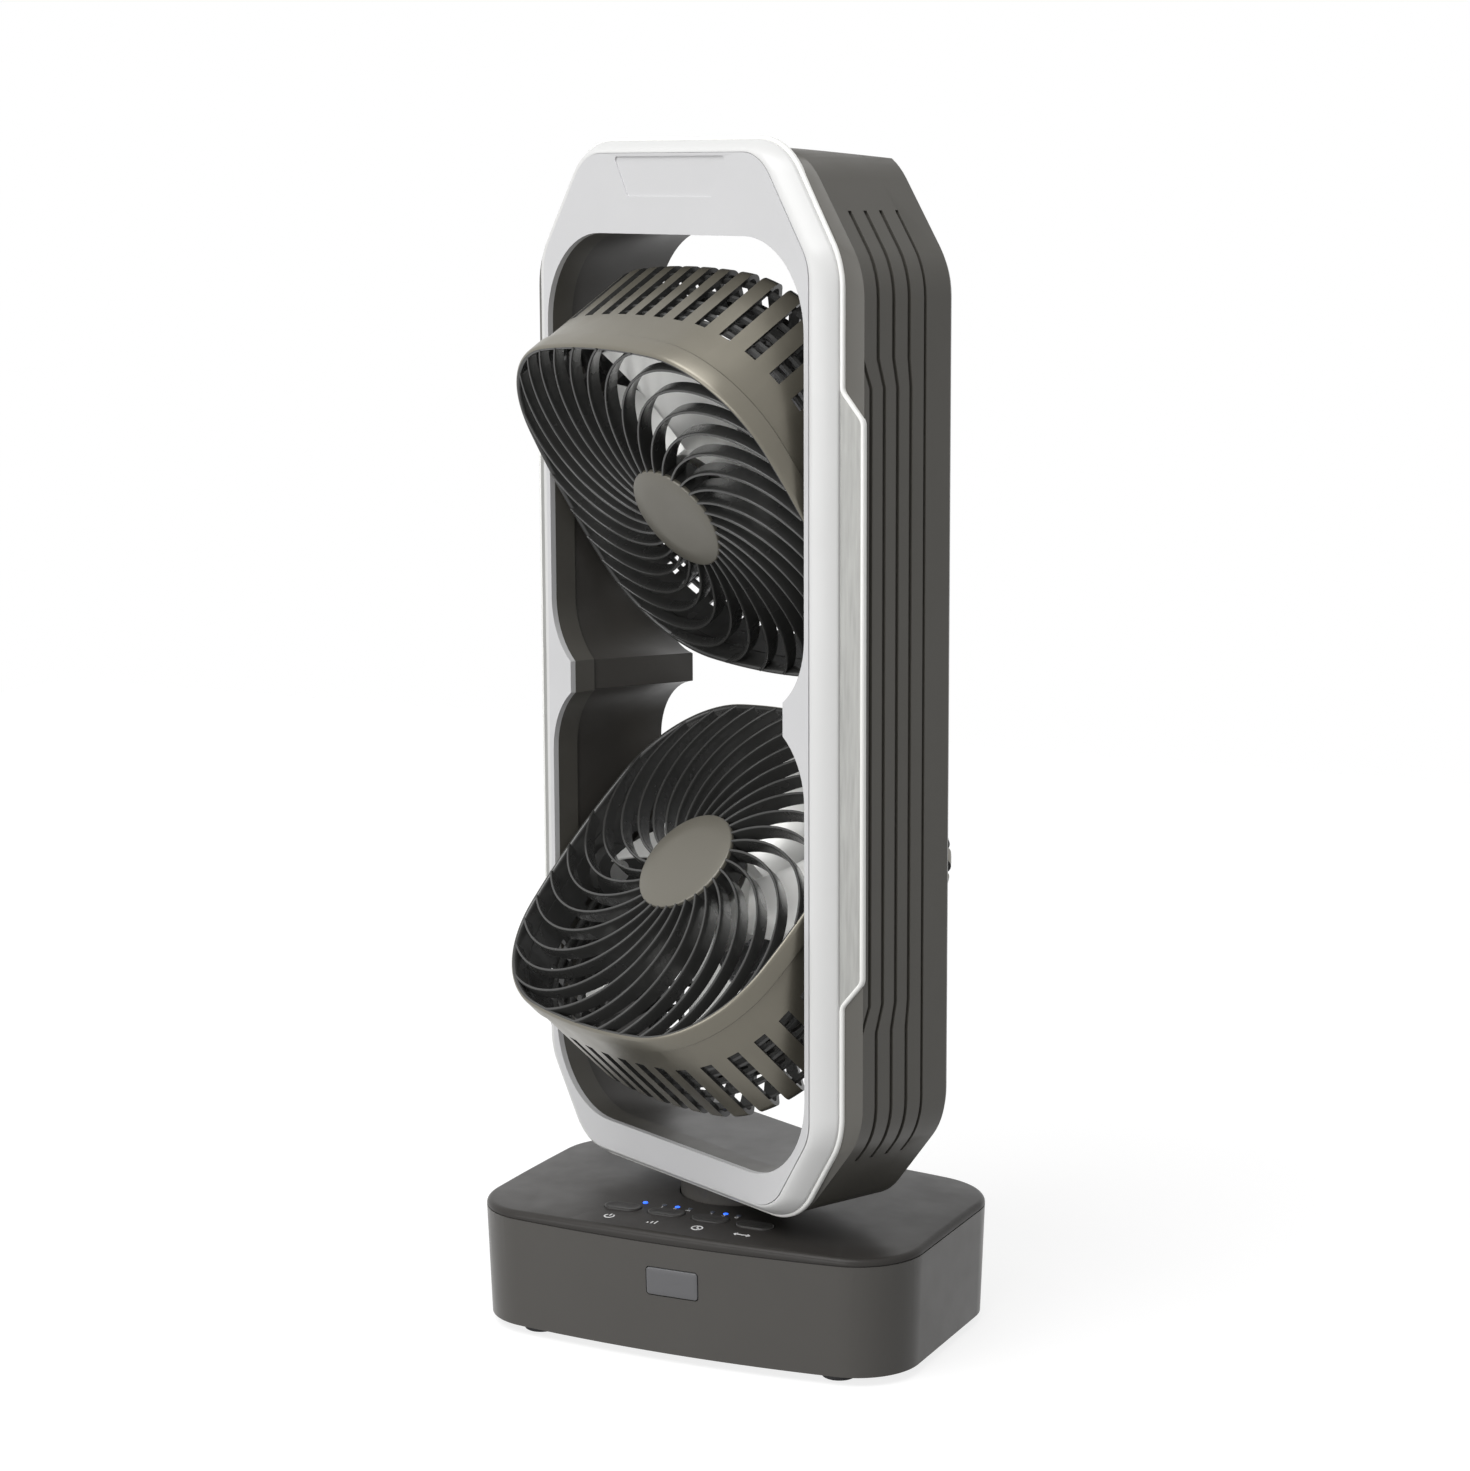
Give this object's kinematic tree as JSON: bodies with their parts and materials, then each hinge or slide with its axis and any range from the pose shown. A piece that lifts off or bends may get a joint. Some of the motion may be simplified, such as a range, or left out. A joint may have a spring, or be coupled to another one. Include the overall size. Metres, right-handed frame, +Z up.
{
  "type": "dual-head desk fan",
  "caption": "Desk fan: tilting heads with swept-vane grilles in a tall open tower frame that oscillates on a weighted base with keys and a receiver window.",
  "frame": {"origin": "centre of the label field on the base's flat underside, above the feet", "axes": "+Z up, -Y towards the base's front with its keys, +X to the right seen from the front"},
  "size_m": [0.2474, 0.2067, 0.5766],
  "materials": {
    "silver_face": "satin silver-grey",
    "white_bevel": "gloss white",
    "brushed_trim": "brushed",
    "dark_housing": "fine matte, warm dark grey",
    "dark_lining": "satin, dark grey",
    "grille_black": "gloss black",
    "cap_grey": "satin grey",
    "shell_grey": "satin warm grey",
    "blade_grey": "gloss light grey",
    "base_charcoal": "fine matte charcoal",
    "key_charcoal": "satin charcoal",
    "lamp_lens": "clear, blue-lit",
    "window_dark": "smoke grey, clear to infrared",
    "rubber_black": "matte",
    "circuit_green": "solder mask",
    "component_black": "moulded",
    "nylon_white": "moulded nylon",
    "motor_can": "plain",
    "plated_steel": "zinc plated",
    "ballast_steel": "raw"
  },
  "bodies": {
    "base": {"base_body": "base_charcoal", "base_top_cover": "base_charcoal", "base_bottom_plate": "base_charcoal", "rubber_feet": "rubber_black", "ballast_plate": "ballast_steel", "base_screws": "plated_steel", "inner_screws": "plated_steel", "control_board": "circuit_green", "tact_switches": "component_black", "indicator_lenses": "lamp_lens", "ir_window": "window_dark", "ir_receiver": "component_black", "power_board": "circuit_green", "cord_gland": "base_charcoal", "oscillation_motor": "motor_can", "thrust_washer": "nylon_white"},
    "tower": {"neck_column": "base_charcoal", "neck_gear": "nylon_white", "neck_retainer": "nylon_white", "neck_plate": "plated_steel", "neck_screws": "plated_steel", "front_plate": "silver_face", "bevel_frame": "white_bevel", "side_trim_left": "brushed_trim", "side_trim_right": "brushed_trim", "tower_front_housing": "dark_housing", "tower_rear_housing": "dark_housing", "opening_liner": "dark_lining", "tower_screws": "plated_steel", "tilt_bushes": "nylon_white"},
    "upper_head": {"upper_grille": "grille_black", "upper_grille_cap": "cap_grey", "upper_head_shell": "shell_grey", "upper_rear_guard": "shell_grey", "upper_trunnions": "plated_steel", "upper_tilt_washers": "nylon_white", "upper_tilt_clips": "plated_steel", "upper_head_screws": "plated_steel", "upper_motor": "motor_can"},
    "lower_head": {"lower_grille": "grille_black", "lower_grille_cap": "cap_grey", "lower_head_shell": "shell_grey", "lower_rear_guard": "shell_grey", "lower_trunnions": "plated_steel", "lower_tilt_washers": "nylon_white", "lower_tilt_clips": "plated_steel", "lower_head_screws": "plated_steel", "lower_motor": "motor_can"},
    "upper_fan": {"upper_fan_blade": "blade_grey", "upper_blade_nut": "blade_grey", "upper_motor_shaft": "plated_steel"},
    "lower_fan": {"lower_fan_blade": "blade_grey", "lower_blade_nut": "blade_grey", "lower_motor_shaft": "plated_steel"},
    "drive": {"drive_pinion": "nylon_white", "drive_shaft": "plated_steel"},
    "power_key": {"button_power": "key_charcoal"},
    "speed_key": {"button_speed": "key_charcoal"},
    "timer_key": {"button_timer": "key_charcoal"},
    "oscillation_key": {"button_oscillation": "key_charcoal"}
  },
  "joints": [
    {"name": "oscillation", "type": "hinge", "parent": "base", "child": "tower", "pos_m": [0, 0, 0.0455], "axis": [0, 0, 1], "range_deg": [-13.5, 66.5]},
    {"name": "upper_tilt", "type": "hinge", "parent": "tower", "child": "upper_head", "pos_m": [-0.00281, -0.00564, 0.41326], "axis": [0.8949, -0.4462, 0], "range_deg": [-77.5, 12.5]},
    {"name": "lower_tilt", "type": "hinge", "parent": "tower", "child": "lower_head", "pos_m": [-0.00281, -0.00564, 0.20782], "axis": [0.8949, -0.4462, 0], "range_deg": [-1, 89]},
    {"name": "upper_spin", "type": "hinge", "parent": "upper_head", "child": "upper_fan", "pos_m": [-0.00281, -0.00564, 0.41326], "axis": [-0.3763, -0.7548, -0.5373], "continuous": true},
    {"name": "lower_spin", "type": "hinge", "parent": "lower_head", "child": "lower_fan", "pos_m": [-0.00281, -0.00564, 0.20782], "axis": [-0.321, -0.6438, 0.6947], "continuous": true},
    {"name": "pinion_spin", "type": "hinge", "parent": "base", "child": "drive", "pos_m": [-0.03915, 0, 0.0355], "axis": [0, 0, 1], "range_deg": [-225, 50]},
    {"name": "power_press", "type": "slide", "parent": "base", "child": "power_key", "axis": [0, 0, -1], "range_m": [0, 0.0006], "stiffness_N_per_m": 400, "springref_m": -0.002},
    {"name": "speed_press", "type": "slide", "parent": "base", "child": "speed_key", "axis": [0, 0, -1], "range_m": [0, 0.0006], "stiffness_N_per_m": 400, "springref_m": -0.002},
    {"name": "timer_press", "type": "slide", "parent": "base", "child": "timer_key", "axis": [0, 0, -1], "range_m": [0, 0.0006], "stiffness_N_per_m": 400, "springref_m": -0.002},
    {"name": "oscillation_press", "type": "slide", "parent": "base", "child": "oscillation_key", "axis": [0, 0, -1], "range_m": [0, 0.0006], "stiffness_N_per_m": 400, "springref_m": -0.002}
  ],
  "couplings": [
    {"joint": "pinion_spin", "follows": "oscillation", "ratio": -3.3333}
  ]
}
